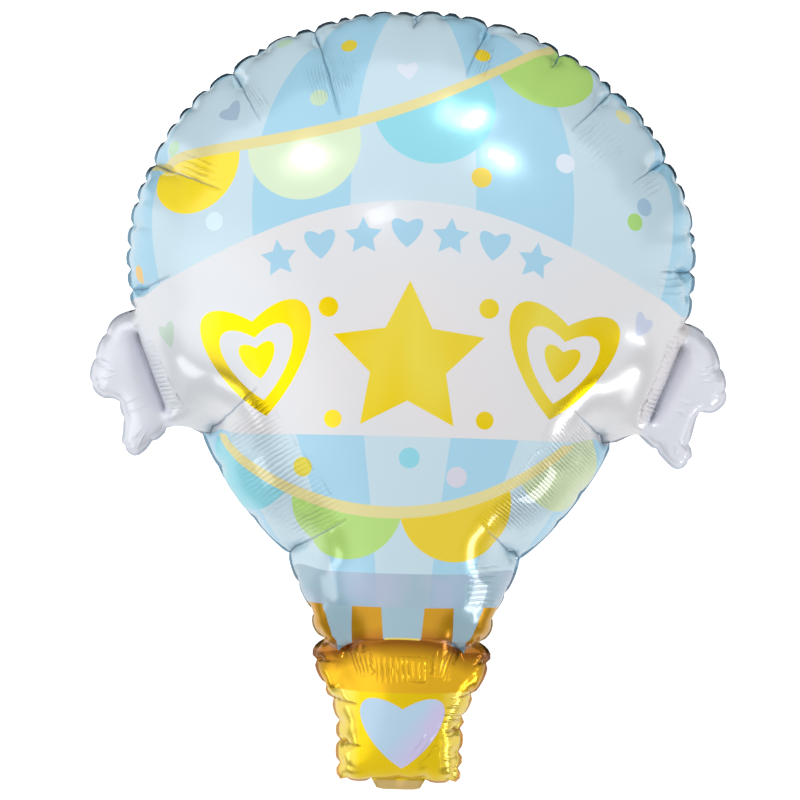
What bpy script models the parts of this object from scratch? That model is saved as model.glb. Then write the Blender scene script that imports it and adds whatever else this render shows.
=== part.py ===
"""A hot air balloon made as an inflated foil balloon, lying on its back.

Two sheets of metallised film are cut to one outline, heat-sealed round the edge and blown up,
so the balloon is one sealed piece: a round envelope, a banner across it whose swallow-tailed
ends stand out at both sides, a skirt, a basket below and a filling tab under the basket.
X runs across, Y from the basket to the crown, and Z up from the floor that it lies on.
"""

import bmesh
import bpy
import numpy as np
from mathutils import Vector
from mathutils.geometry import delaunay_2d_cdt

# Envelope: the upper part of the outline is an ellipse about the envelope's middle.
ENVELOPE_HALF_WIDTH = 0.322
ENVELOPE_HALF_HEIGHT = 0.287
ENVELOPE_MIDDLE_Y = 0.154

# Banner ends: each is a swallow tail that leaves the envelope at BANNER_TOP_Y.
BANNER_TOP_Y = 0.097
TAIL_REACH = 0.048
TAIL_FALL = 0.168
# The tail's edge from its root over both tips to the flank, as shares of reach and fall.
TAIL_EDGE = (
    (0.00, 0.000),
    (0.50, 0.090),
    (0.86, 0.295),
    (1.00, 0.500),
    (0.72, 0.605),
    (0.33, 0.635),
    (0.17, 0.810),
    (0.19, 0.930),
    (-0.14, 1.000),
    (-0.58, 0.905),
    (-1.14, 0.780),
    (-1.72, 0.845),
)

# Flank and skirt: half widths and heights where the outline turns.
FLANK_BULGE = 0.0095
SKIRT_TOP_HALF_WIDTH = 0.132
SKIRT_TOP_Y = -0.178
SKIRT_BULGE = 0.003
SKIRT_FOOT_HALF_WIDTH = 0.102
SKIRT_FOOT_Y = -0.243
STRAP_BULGE = 0.004
NECK_HALF_WIDTH = 0.091
NECK_Y = -0.274

# Basket: it flares into ears at the rim, then narrows to its foot.
EAR_HALF_WIDTH = 0.1005
EAR_DROP = 0.020
WAIST_HALF_WIDTH = 0.0725
WAIST_DROP = 0.088
FOOT_HALF_WIDTH = 0.0695
FOOT_Y = -0.435
FOOT_CORNER = 0.010

# Filling tab: a flat tongue of sealed film under the basket.
TAB_WIDTH = 0.062
TAB_LENGTH = 0.014

# Sealed margin: the flat rim where the two sheets are welded.
SEAL_WIDTH = 0.004
SEAL_THICKNESS = 0.0006

# Inner welds: short lines where front and back are tacked together.
# The tail's is given by its two ends, as shares of reach and fall from the tail's root.
TAIL_WELD = ((-0.14, 0.18), (-0.80, 0.67))
# The neck's is given by its two ends, as a share of the half width and a drop below the neck.
NECK_WELD = ((0.50, 0.003), (0.83, 0.016))
WELD_STEP = 0.008
# Rows of points beside a weld, where the film climbs steeply, and how far others keep off it.
WELD_ROWS = (0.0035, 0.010)
WELD_CLEARANCE = 0.016

# How far the front and the back stand off the sealed edge at their highest.
FRONT_RISE = 0.180
BACK_RISE = 0.180
# The back is pressed flat by this much where the balloon rests.
REST_FLAT = 0.009

# Puckers: the film gathers into creases along the seal, with a scallop between two creases.
CROWN_PITCH = 0.026
TAIL_PITCH = 0.036
SKIRT_PITCH = 0.034
BASKET_PITCH = 0.027
# A scallop's height as a share of its length.
CROWN_SCALLOP = 0.10
TAIL_SCALLOP = 0.04
SKIRT_SCALLOP = 0.06
BASKET_SCALLOP = 0.08
CREASE_DEPTH = 0.006
CREASE_REACH = 0.022
LONG_CREASE_EVERY = 4
LONG_CREASE_REACH = 0.060
PUCKER_SEED = 11

# Mesh spacing: rows of points along the seal, as (distance in, points to a scallop).
EDGE_ROWS = ((0.0, 3), (0.0015, 3), (0.006, 2), (0.014, 2), (0.026, 2), (0.043, 2))
# In a notch, a row's points nearer to the seal than this share of their distance are left out.
ROW_GAP_SHARE = 0.8
INNER_SPACING = 0.027
CURVE_STEP = 0.001
# The edge's direction is taken over this length to both sides.
TANGENT_REACH = 0.004

FOIL_BLUE = (0.62, 0.80, 0.90, 1.0)
FOIL_METALLIC = 0.7
FOIL_ROUGHNESS = 0.25


def smooth_curve(points):
    """A Catmull-Rom curve through the points, with a point about every CURVE_STEP."""
    knots = np.array(points, float)
    ends = np.vstack([2 * knots[0] - knots[1], knots, 2 * knots[-1] - knots[-2]])
    pieces = []
    for before, start, stop, after in zip(ends[:-3], ends[1:-2], ends[2:-1], ends[3:]):
        steps = max(2, int(np.linalg.norm(stop - start) / CURVE_STEP))
        t = np.linspace(0, 1, steps, endpoint=False)[:, None]
        pieces.append(
            0.5
            * (
                2 * start
                + (stop - before) * t
                + (2 * before - 5 * start + 4 * stop - after) * t**2
                + (3 * start - before - 3 * stop + after) * t**3
            )
        )
    return np.vstack([*pieces, knots[-1:]])


def bowed_line(start, stop, bulge):
    """A line from start to stop that bows to its left by the given height."""
    start, stop = np.array(start), np.array(stop)
    along = stop - start
    left = np.array([-along[1], along[0]]) / np.linalg.norm(along)
    t = np.linspace(0, 1, max(2, int(np.linalg.norm(along) / CURVE_STEP)) + 1)[:, None]
    return start + along * t + left * bulge * 4 * t * (1 - t)


def tail_root():
    """Where the right tail leaves the envelope's ellipse, and the ellipse's angle there."""
    angle = np.arcsin((BANNER_TOP_Y - ENVELOPE_MIDDLE_Y) / ENVELOPE_HALF_HEIGHT)
    return np.array([ENVELOPE_HALF_WIDTH * np.cos(angle), BANNER_TOP_Y]), angle


def on_tail(out, down):
    """A place on the right tail, from shares of its reach and fall."""
    return tail_root()[0] + (out * TAIL_REACH, -down * TAIL_FALL)


def half_outline():
    """The right half of the outline, from the crown down to the tab.

    Each stretch is a curve with the pitch and the height of its scallops.
    """
    lowest = tail_root()[1]
    angle = np.linspace(np.pi / 2, lowest, 1000)
    crown = np.column_stack(
        [
            ENVELOPE_HALF_WIDTH * np.cos(angle),
            ENVELOPE_MIDDLE_Y + ENVELOPE_HALF_HEIGHT * np.sin(angle),
        ]
    )
    tail = smooth_curve([on_tail(out, down) for out, down in TAIL_EDGE])
    skirt_top = (SKIRT_TOP_HALF_WIDTH, SKIRT_TOP_Y)
    neck = (NECK_HALF_WIDTH, NECK_Y)
    flank = bowed_line(tail[-1], skirt_top, FLANK_BULGE)
    skirt_foot = (SKIRT_FOOT_HALF_WIDTH, SKIRT_FOOT_Y)
    skirt = bowed_line(skirt_top, skirt_foot, SKIRT_BULGE)
    straps = bowed_line(skirt_foot, neck, STRAP_BULGE)
    side = smooth_curve(
        [
            neck,
            (EAR_HALF_WIDTH, NECK_Y - EAR_DROP),
            ((EAR_HALF_WIDTH + WAIST_HALF_WIDTH) / 2, NECK_Y - (EAR_DROP + WAIST_DROP) / 2),
            (WAIST_HALF_WIDTH, NECK_Y - WAIST_DROP),
            (FOOT_HALF_WIDTH, FOOT_Y + FOOT_CORNER),
            (FOOT_HALF_WIDTH - FOOT_CORNER, FOOT_Y),
        ]
    )
    tab_corner = (TAB_WIDTH / 2, FOOT_Y)
    foot = bowed_line(side[-1], tab_corner, 0.0)
    tab = bowed_line(tab_corner, (0.0, FOOT_Y), 0.0)
    return [
        (crown, CROWN_PITCH, CROWN_SCALLOP),
        (tail, TAIL_PITCH, TAIL_SCALLOP),
        (flank, None, 0.0),
        (skirt, SKIRT_PITCH, SKIRT_SCALLOP),
        (straps, SKIRT_PITCH, 0.0),
        (side, BASKET_PITCH, BASKET_SCALLOP),
        (foot, BASKET_PITCH, BASKET_SCALLOP),
        (tab, None, 0.0),
    ]


class Outline:
    """The closed outer edge, counter-clockwise, with the creases that gather it."""

    def __init__(self):
        down = half_outline()
        # Counter-clockwise from the crown: down the left side, then up the right side.
        left = [(curve * (-1, 1), pitch, height) for curve, pitch, height in down]
        right = [(curve[::-1], pitch, height) for curve, pitch, height in down[::-1]]
        stretches = left + right
        rng = np.random.default_rng(PUCKER_SEED)
        self.points = np.vstack([stretch[0][:-1] for stretch in stretches])
        steps = np.linalg.norm(np.diff(self.points, axis=0, append=self.points[:1]), axis=1)
        self.along = np.concatenate([[0], np.cumsum(steps)])
        self.length = self.along[-1]
        self.creases, self.bulges = self.gather(stretches, rng)
        turn = rng.random(len(self.creases))
        self.depths = CREASE_DEPTH * (0.5 + 0.8 * turn)
        is_long = np.arange(len(self.creases)) % LONG_CREASE_EVERY == 0
        self.reaches = np.where(is_long, LONG_CREASE_REACH, CREASE_REACH * (0.6 + turn))

    def gather(self, stretches, rng):
        """Crease places along the edge, and how far the edge bulges after each one."""
        creases, bulges, start = [], [], 0.0
        for curve, pitch, height in stretches:
            length = np.linalg.norm(np.diff(curve, axis=0), axis=1).sum()
            count = 1 if pitch is None else max(1, round(length / pitch))
            inner = np.arange(1, count) + rng.uniform(-0.28, 0.28, count - 1)
            places = np.concatenate([[0], inner, [count]]) / count * length
            creases.extend(start + places[:-1])
            bulges.extend(height * np.diff(places))
            start += length
        return np.array(creases), np.array(bulges)

    def places(self, per_scallop):
        """Places along the edge: every crease, and points evenly spaced between two creases."""
        stops = np.append(self.creases[1:], self.length)
        # A stretch without puckers is longer than a scallop and is divided just as finely.
        parts = np.maximum(1, np.round((stops - self.creases) / CROWN_PITCH)) * per_scallop
        return np.concatenate(
            [
                np.linspace(start, stop, int(count), endpoint=False)
                for start, stop, count in zip(self.creases, stops, parts)
            ]
        )

    def at(self, place):
        """The edge's points at these places, scallops included, and the inward directions there."""
        closed = np.vstack([self.points, self.points[:1]])
        here, ahead, behind = (
            np.column_stack(
                [np.interp((place + step) % self.length, self.along, closed[:, k]) for k in (0, 1)]
            )
            for step in (0.0, TANGENT_REACH, -TANGENT_REACH)
        )
        tangent = ahead - behind
        inward = np.column_stack([-tangent[:, 1], tangent[:, 0]])
        inward /= np.linalg.norm(inward, axis=1)[:, None]
        index, share = self.scallop(place)
        swell = self.bulges[index] * (2 * np.sqrt(share * (1 - share)) - 0.5)
        return here - inward * swell[:, None], inward

    def scallop(self, place):
        """Which scallop each place is in, and how far along it, from 0 to 1."""
        index = np.clip(
            np.searchsorted(self.creases, place + 1e-9, side="right") - 1, 0, len(self.creases) - 1
        )
        stops = np.append(self.creases[1:], self.length)
        span = stops[index] - self.creases[index]
        return index, np.clip((place - self.creases[index]) / span, 0, 1)

    def valley(self, place, inset):
        """The share of the height that the nearest crease takes away, at a distance in.

        A crease draws the film in by its depth. Near the seal the height goes with the square
        root of the distance in, which turns the drawing in into a share of the height.
        """
        index, share = self.scallop(place)
        stops = np.append(self.creases[1:], self.length)
        span = stops[index] - self.creases[index]
        nearest = np.where(share < 0.5, index, (index + 1) % len(self.creases))
        half = np.minimum(span, CROWN_PITCH) / 2
        off = np.minimum(np.minimum(share, 1 - share) * span / half, 1)
        depth = self.depths[nearest] * (1 - np.sqrt(off)) * np.exp(-inset / self.reaches[nearest])
        return 1 - np.sqrt(1 - depth / (inset + self.depths[nearest]))


def segment_distance(points, starts, stops):
    """Each point's distance to the nearest of the segments."""
    best = np.full(len(points), np.inf)
    for start, stop in zip(starts, stops):
        along = stop - start
        t = np.clip((points - start) @ along / max(along @ along, 1e-18), 0, 1)
        best = np.minimum(best, np.linalg.norm(points - start - t[:, None] * along, axis=1))
    return best


def inside(points, loop):
    """Whether each point is inside the closed loop."""
    x, y = points[:, 0], points[:, 1]
    found = np.zeros(len(points), bool)
    for (x0, y0), (x1, y1) in zip(loop, np.roll(loop, -1, axis=0)):
        if y0 == y1:
            continue
        crosses = (y0 > y) != (y1 > y)
        found ^= crosses & (x < x0 + (y - y0) * (x1 - x0) / (y1 - y0))
    return found


def weld_lines():
    """The inner welds, each as a row of points."""
    tail = np.array([on_tail(out, down) for out, down in TAIL_WELD])
    neck = np.array([(share * NECK_HALF_WIDTH, NECK_Y - drop) for share, drop in NECK_WELD])
    lines = []
    for start, stop in (tail, neck, tail * (-1, 1), neck * (-1, 1)):
        count = max(2, round(np.linalg.norm(stop - start) / WELD_STEP))
        lines.append(start + (stop - start) * np.linspace(0, 1, count + 1)[:, None])
    return lines


class Sheet:
    """One flat sheet of film as a triangle mesh inside the seal."""

    def __init__(self, outline):
        seam_place = outline.places(EDGE_ROWS[0][1])
        edge, inward = outline.at(seam_place)
        self.inward = inward
        self.seam = edge + inward * SEAL_WIDTH
        starts, stops = self.seam, np.roll(self.seam, -1, axis=0)
        rows, places, insets = [self.seam], [seam_place], [np.zeros(len(self.seam))]
        for inset, per_scallop in EDGE_ROWS[1:]:
            place = outline.places(per_scallop)
            point, toward = outline.at(place)
            point = point + toward * (SEAL_WIDTH + inset)
            keep = inside(point, self.seam)
            keep &= segment_distance(point, starts, stops) > ROW_GAP_SHARE * inset
            rows.append(point[keep])
            places.append(place[keep])
            insets.append(np.full(keep.sum(), inset))
        welds = weld_lines()
        beside = self.beside(welds)
        beside = beside[inside(beside, self.seam)]
        beside = beside[segment_distance(beside, starts, stops) > EDGE_ROWS[2][0]]
        grid = self.grid(self.seam)
        grid = grid[inside(grid, self.seam)]
        far = segment_distance(grid, starts, stops) > EDGE_ROWS[-1][0] + INNER_SPACING / 2
        weld_starts = np.vstack([line[:-1] for line in welds])
        weld_stops = np.vstack([line[1:] for line in welds])
        grid = grid[far & (segment_distance(grid, weld_starts, weld_stops) > WELD_CLEARANCE)]
        for i in range(1, len(rows)):
            clear = segment_distance(rows[i], weld_starts, weld_stops) > WELD_ROWS[0]
            rows[i], places[i], insets[i] = rows[i][clear], places[i][clear], insets[i][clear]
        free = np.vstack([beside, grid])
        known = sum(map(len, rows))
        weld_points = np.vstack(welds)
        given = np.vstack([*rows, weld_points, free])
        edges, first = [], known
        for line in welds:
            edges += [(first + i, first + i + 1) for i in range(len(line) - 1)]
            first += len(line)
        rim = list(range(len(self.seam)))
        coords = [Vector(p) for p in given]
        out = delaunay_2d_cdt(coords, edges, [rim], 1, 1e-7, True)
        self.points = np.array([tuple(v) for v in out[0]])
        triangles = np.array(out[2])
        self.triangles = triangles[inside(self.points[triangles].mean(axis=1), self.seam)]
        origin = np.array([ids[0] if ids else -1 for ids in out[3]])
        self.rim = self.index_of(origin, rim)
        self.fixed = np.zeros(len(self.points), bool)
        self.fixed[self.rim] = True
        on_weld = range(known, known + len(weld_points))
        self.fixed[self.index_of(origin, on_weld)] = True
        place_of = np.concatenate([*places, np.zeros(len(given) - known)])
        inset_of = np.concatenate([*insets, np.full(len(given) - known, np.inf)])
        self.valley = np.where(
            np.isfinite(inset_of[origin]),
            outline.valley(place_of[origin], np.minimum(inset_of[origin], 1.0)),
            0.0,
        )

    @staticmethod
    def index_of(origin, given):
        """Where the given points ended up among the mesh's points."""
        order = np.argsort(origin)
        return order[np.searchsorted(origin[order], list(given))]

    @staticmethod
    def beside(welds):
        """Rows of points on both sides of each weld, where the film climbs steeply."""
        rows = []
        for line in welds:
            along = (line[-1] - line[0]) / np.linalg.norm(line[-1] - line[0])
            across = np.array([-along[1], along[0]])
            for offset in WELD_ROWS:
                rows += [line + across * offset, line - across * offset]
                rows += [line[:1] - along * offset, line[-1:] + along * offset]
        return np.vstack(rows)

    @staticmethod
    def grid(loop):
        """A triangular grid over the whole loop."""
        low, high = loop.min(axis=0), loop.max(axis=0)
        across = np.arange(low[0], high[0], INNER_SPACING)
        up = np.arange(low[1], high[1], INNER_SPACING * np.sqrt(3) / 2)
        x, y = np.meshgrid(across, up)
        x = x + INNER_SPACING / 2 * (np.arange(len(up))[:, None] % 2)
        return np.column_stack([x.ravel(), y.ravel()])

    def blown(self):
        """The film's height under even pressure, from 0 at the seal to 1 at its highest.

        It is the square root of the solution of Poisson's equation on the sheet, held at 0 on
        the seal and the welds. On a round sheet that is an ellipsoid.
        """
        corner = [self.points[self.triangles[:, k]] for k in range(3)]
        side = [corner[(k + 2) % 3] - corner[(k + 1) % 3] for k in range(3)]
        twice_area = np.abs(side[0][:, 0] * side[1][:, 1] - side[0][:, 1] * side[1][:, 0])
        first, second, weight = [], [], []
        for k in range(3):
            after, before = side[(k + 1) % 3], side[(k + 2) % 3]
            first.append(self.triangles[:, (k + 1) % 3])
            second.append(self.triangles[:, (k + 2) % 3])
            weight.append(-(after * before).sum(axis=1) / (2 * twice_area))
        i, j, w = (np.concatenate(part) for part in (first, second, weight))
        count = len(self.points)
        diagonal = np.bincount(i, w, count) + np.bincount(j, w, count)
        load = np.bincount(self.triangles.ravel(), np.repeat(twice_area / 6, 3), count)
        free = ~self.fixed

        def pull(value):
            spread = np.bincount(i, w * value[j], count) + np.bincount(j, w * value[i], count)
            return np.where(free, diagonal * value - spread, 0.0)

        value = np.zeros(count)
        rest = np.where(free, load, 0.0)
        ahead = rest / diagonal
        push, size = ahead.copy(), rest @ ahead
        for _ in range(2000):
            moved = pull(push)
            step = size / (push @ moved)
            value += step * push
            rest -= step * moved
            ahead = np.where(free, rest / diagonal, 0.0)
            next_size = rest @ ahead
            if next_size < 1e-20 * count:
                break
            push = ahead + push * next_size / size
            size = next_size
        return np.sqrt(np.clip(value / value.max(), 0, 1))


def seal_widths(sheet):
    """The width of the flat margin at each point of the seam, wider along the filling tab."""
    x, y = sheet.seam[:, 0], sheet.seam[:, 1]
    on_tab = (np.abs(x) < TAB_WIDTH / 2) & (y < FOOT_Y + 2 * SEAL_WIDTH)
    return np.where(on_tab, TAB_LENGTH, SEAL_WIDTH)


def foil_material():
    material = bpy.data.materials.new("printed_foil")
    material.use_nodes = True
    shader = material.node_tree.nodes["Principled BSDF"]
    shader.inputs["Base Color"].default_value = FOIL_BLUE
    shader.inputs["Metallic"].default_value = FOIL_METALLIC
    shader.inputs["Roughness"].default_value = FOIL_ROUGHNESS
    return material


def foil_balloon():
    """The sealed and inflated balloon, resting on the flat of its back."""
    outline = Outline()
    sheet = Sheet(outline)
    height = sheet.blown() * (1 - sheet.valley)
    seal = SEAL_THICKNESS / 2
    seam_z = BACK_RISE + seal - REST_FLAT
    body = bmesh.new()

    def ring(points, z):
        return [body.verts.new((x, y, h)) for (x, y), h in zip(points, np.broadcast_to(z, len(points)))]

    front = ring(sheet.points, seam_z + seal + FRONT_RISE * height)
    back = ring(sheet.points, seam_z - seal - BACK_RISE * height)
    for a, b, c in sheet.triangles:
        body.faces.new((front[a], front[b], front[c]))
        body.faces.new((back[c], back[b], back[a]))
    edge = sheet.seam - sheet.inward * seal_widths(sheet)[:, None]
    edge_front = ring(edge, seam_z + seal)
    edge_back = ring(edge, seam_z - seal)
    for here, at in enumerate(sheet.rim):
        after = (here + 1) % len(sheet.rim)
        to = sheet.rim[after]
        body.faces.new((front[to], front[at], edge_front[here], edge_front[after]))
        body.faces.new((edge_front[after], edge_front[here], edge_back[here], edge_back[after]))
        body.faces.new((edge_back[after], edge_back[here], back[at], back[to]))
    everything = body.verts[:] + body.edges[:] + body.faces[:]
    cut = bmesh.ops.bisect_plane(
        body, geom=everything, dist=1e-6, plane_co=(0, 0, 0), plane_no=(0, 0, -1), clear_outer=True
    )
    rim_of_flat = [item for item in cut["geom_cut"] if isinstance(item, bmesh.types.BMEdge)]
    bmesh.ops.contextual_create(body, geom=rim_of_flat)
    bmesh.ops.recalc_face_normals(body, faces=body.faces[:])
    bmesh.ops.triangulate(body, faces=body.faces[:])
    # The origin goes to the middle of the outline, on the floor.
    spread = np.array([vert.co[:2] for vert in body.verts])
    middle = (spread.min(axis=0) + spread.max(axis=0)) / 2
    bmesh.ops.translate(body, verts=body.verts[:], vec=(-middle[0], -middle[1], 0.0))
    mesh = bpy.data.meshes.new("foil_balloon")
    body.to_mesh(mesh)
    body.free()
    mesh.shade_smooth()
    mesh.materials.append(foil_material())
    balloon = bpy.data.objects.new("foil_balloon", mesh)
    bpy.context.scene.collection.objects.link(balloon)
    return balloon


for old in list(bpy.data.objects):
    bpy.data.objects.remove(old)
foil_balloon()
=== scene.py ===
"""The looks of an inflated foil balloon in the form of a hot air balloon, lying face up."""

import math
from functools import partialmethod

import bpy
import numpy as np
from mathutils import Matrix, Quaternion, Vector
from mathutils.geometry import delaunay_2d_cdt


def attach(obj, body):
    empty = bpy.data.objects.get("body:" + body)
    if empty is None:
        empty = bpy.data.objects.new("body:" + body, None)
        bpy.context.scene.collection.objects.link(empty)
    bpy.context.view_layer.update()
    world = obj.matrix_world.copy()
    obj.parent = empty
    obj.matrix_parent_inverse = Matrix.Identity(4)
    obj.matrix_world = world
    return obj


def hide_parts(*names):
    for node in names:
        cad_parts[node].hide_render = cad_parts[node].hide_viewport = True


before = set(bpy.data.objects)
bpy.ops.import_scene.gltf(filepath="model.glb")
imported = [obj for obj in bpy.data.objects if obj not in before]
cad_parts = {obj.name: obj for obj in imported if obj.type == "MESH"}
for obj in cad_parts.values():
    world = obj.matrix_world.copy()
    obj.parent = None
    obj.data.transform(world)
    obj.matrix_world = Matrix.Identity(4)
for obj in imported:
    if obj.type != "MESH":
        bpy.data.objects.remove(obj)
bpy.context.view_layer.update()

# The sealed edge
# The real balloon is two sheets of metallised nylon film, cut to one outline and heat-sealed
# round the edge. Blown up, the edge is too long for the balloon, so it gathers into scallops
# with a sharp crease between each two.

ENVELOPE_HALF_WIDTH = 0.322
ENVELOPE_HALF_HEIGHT = 0.287
ENVELOPE_MIDDLE = 0.154
BANNER_TOP = 0.097
TAIL_REACH = 0.048
TAIL_FALL = 0.168
TAIL_EDGE = (
    (0.00, 0.000), (0.50, 0.090), (0.86, 0.295), (1.00, 0.500), (0.72, 0.605), (0.33, 0.635),
    (0.17, 0.810), (0.19, 0.930), (-0.14, 1.000), (-0.58, 0.905), (-1.14, 0.780), (-1.72, 0.845),
)
SKIRT_TOP = (0.132, -0.178)
SKIRT_FOOT = (0.102, -0.243)
NECK = (0.091, -0.274)
EAR = (0.1005, -0.294)
WAIST = (0.0725, -0.362)
BASKET_FOOT = (0.0695, -0.435)
BASKET_CORNER = 0.010
TAB_HALF_WIDTH = 0.031
# The film's place where the two sheets meet, in from the plain edge.
SEAL_INSET = 0.0034
# The sealed rim folds back. It stands out between two creases and is drawn in at each.
RIM_DROP_SHARE = 1.1
TAB_LENGTH = 0.0124
CURVE_STEP = 0.0005


def lengths(rows):
    """Each row's length."""
    return np.linalg.norm(rows, axis=-1)


def leftward(rows):
    """Each direction turned a quarter to the left, one long."""
    return np.stack([-rows[..., 1], rows[..., 0]], axis=-1) / lengths(rows)[..., None]


def smooth_curve(points):
    """A Catmull-Rom curve through the points: a cubic in t between each two of them."""
    knots = np.array(points, float)
    ends = np.vstack([2 * knots[0] - knots[1], knots, 2 * knots[-1] - knots[-2]])
    pieces = []
    for before, start, stop, after in zip(ends[:-3], ends[1:-2], ends[2:-1], ends[3:]):
        steps = max(2, int(np.linalg.norm(stop - start) / CURVE_STEP))
        t = np.linspace(0, 1, steps, endpoint=False)[:, None]
        linear = (stop - before) * t
        square = (2 * before - 5 * start + 4 * stop - after) * t**2
        cube = (3 * start - before - 3 * stop + after) * t**3
        pieces.append((2 * start + linear + square + cube) / 2)
    return np.vstack([*pieces, knots[-1:]])


def bowed_line(start, stop, bulge):
    """A line that bows to its left: its height off the line is 4 bulge t (1 - t)."""
    line = np.subtract(stop, start)
    t = np.linspace(0, 1, max(2, int(lengths(line) / CURVE_STEP)) + 1)[:, None]
    return start + line * t + leftward(line) * bulge * 4 * t * (1 - t)


low_angle = math.asin((BANNER_TOP - ENVELOPE_MIDDLE) / ENVELOPE_HALF_HEIGHT)
TAIL_ROOT = np.array([ENVELOPE_HALF_WIDTH * math.cos(low_angle), BANNER_TOP])
turn = np.linspace(math.pi / 2, low_angle, 1500)
crown_edge = np.column_stack(
    [ENVELOPE_HALF_WIDTH * np.cos(turn), ENVELOPE_MIDDLE + ENVELOPE_HALF_HEIGHT * np.sin(turn)]
)
tail_edge = smooth_curve([TAIL_ROOT + (out * TAIL_REACH, -down * TAIL_FALL) for out, down in TAIL_EDGE])
ear_foot = ((EAR[0] + WAIST[0]) / 2, (EAR[1] + WAIST[1]) / 2)
side_foot = (BASKET_FOOT[0], BASKET_FOOT[1] + BASKET_CORNER)
foot_end = (BASKET_FOOT[0] - BASKET_CORNER, BASKET_FOOT[1])
basket_edge = smooth_curve([NECK, EAR, ear_foot, WAIST, side_foot, foot_end])
tab_corner = (TAB_HALF_WIDTH, BASKET_FOOT[1])
# Each stretch of the right half, from the crown down: edge, pitch and height of its scallops,
# how much longer than its place the film is there, how far in half of that reaches, and how
# wide the rim is in the middle of a scallop and at its ends. The flanks are nearly smooth.
RIGHT_HALF = [
    (crown_edge, 0.026, 0.050, 0.20, 0.040, 0.0052, 0.0012),
    (tail_edge, 0.036, 0.03, 0.08, 0.008, 0.0034, 0.0012),
    (bowed_line(tail_edge[-1], SKIRT_TOP, 0.0095), 0.060, 0.008, 0.06, 0.030, 0.0044, 0.0036),
    (bowed_line(SKIRT_TOP, SKIRT_FOOT, 0.003), 0.033, 0.025, 0.06, 0.016, 0.0044, 0.0028),
    (bowed_line(SKIRT_FOOT, NECK, 0.004), 0.040, 0.05, 0.08, 0.012, 0.0044, 0.0012),
    (basket_edge, 0.027, 0.07, 0.14, 0.010, 0.0044, 0.0012),
    (bowed_line(basket_edge[-1], tab_corner, 0), 0.027, 0.06, 0.10, 0.010, 0.0036, 0.0012),
    (bowed_line(tab_corner, (0, BASKET_FOOT[1]), 0), 0.031, 0.0, 0.04, 0.010, 0.0034, 0.0012),
]
left_side = [(edge * (-1, 1), *rest) for edge, *rest in RIGHT_HALF]
right_side = [(edge[::-1], *rest) for edge, *rest in RIGHT_HALF[::-1]]
stretches = left_side + right_side
outline = np.vstack([stretch[0][:-1] for stretch in stretches])
closed_outline = np.vstack([outline, outline[:1]])
along = np.concatenate([[0], np.cumsum(lengths(np.diff(closed_outline, axis=0)))])

# The photograph is 800 pixels across. The balloon leans in it by LEAN, and PIXEL is one pixel's
# size on the balloon.
PIXEL = 0.00114
LEAN = math.radians(1.45)


def from_photo(spots):
    """Places in the photograph as places on the balloon: moved, turned back and scaled."""
    dx, dy = np.moveaxis(np.asarray(spots, float) - (408, 400), -1, 0)
    across = dx * math.cos(LEAN) + dy * math.sin(LEAN)
    down = dy * math.cos(LEAN) - dx * math.sin(LEAN)
    return np.stack([across * PIXEL, 0.122 - (down + 107) * PIXEL], axis=-1)


# Where long creases run in from the edge: the photograph's places of both ends, and the depth.
MAIN_CREASES = np.array([
    (412, 12, 412, 36, 0.006), (316, 36, 343, 126, 0.014), (236, 78, 266, 130, 0.012),
    (487, 31, 463, 88, 0.012), (559, 57, 550, 72, 0.006), (608, 96, 564, 140, 0.014),
    (661, 164, 624, 189, 0.012), (158, 166, 230, 196, 0.014), (134, 290, 178, 277, 0.009),
    (694, 272, 656, 271, 0.008), (217, 430, 262, 386, 0.015), (285, 555, 350, 512, 0.016),
    (604, 448, 572, 410, 0.014), (527, 555, 486, 525, 0.015), (321, 658, 337, 664, 0.005),
    (335, 697, 361, 704, 0.005), (337, 739, 362, 745, 0.004), (489, 664, 472, 670, 0.005),
    (473, 695, 447, 699, 0.004), (466, 729, 444, 731, 0.004),
])
# Between two long creases of the crown the edge stands out in one more, wider lobe.
LOBE_HEIGHT = 0.0034
LOBE_LIMIT = 0.15
# A long crease nearer than this to the end of a stretch shares the crease there.
NEAR_CORNER = 0.014
rng = np.random.default_rng(7)
scallops, start = [], 0.0
main_ends = from_photo(MAIN_CREASES[:, :2])
main_places = along[[np.argmin(lengths(outline - end)) for end in main_ends]]
for edge, pitch, swell, *film_values in stretches:
    length = lengths(np.diff(edge, axis=0)).sum()
    well_inside = (main_places > start + NEAR_CORNER) & (main_places < start + length - NEAR_CORNER)
    inside_it = np.sort(main_places[well_inside])
    stops = np.concatenate([[start], inside_it, [start + length]])
    for first, last in zip(stops[:-1], stops[1:]):
        count = max(1, round((last - first) / pitch))
        places = np.concatenate([[0], np.arange(1, count) + rng.uniform(-0.3, 0.3, count - 1), [count]])
        places = first + places / count * (last - first)
        scallops += [(place, swell * size, *film_values) for place, size in zip(places, np.diff(places))]
    start += length
cusps, scallop_heights, cusp_slack, slack_reach, rim_width, rim_at_cusp = np.array(scallops).T
lobe_ends = np.sort(main_places)
next_cusp = np.append(cusps[1:], along[-1])

SEAM_SPACING = 0.0058
seam_counts = np.maximum(2, np.round((next_cusp - cusps) / SEAM_SPACING)).astype(int)
seam_place = np.concatenate(
    [np.linspace(a, b, n, endpoint=False) for a, b, n in zip(cusps, next_cusp, seam_counts)]
)


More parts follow.
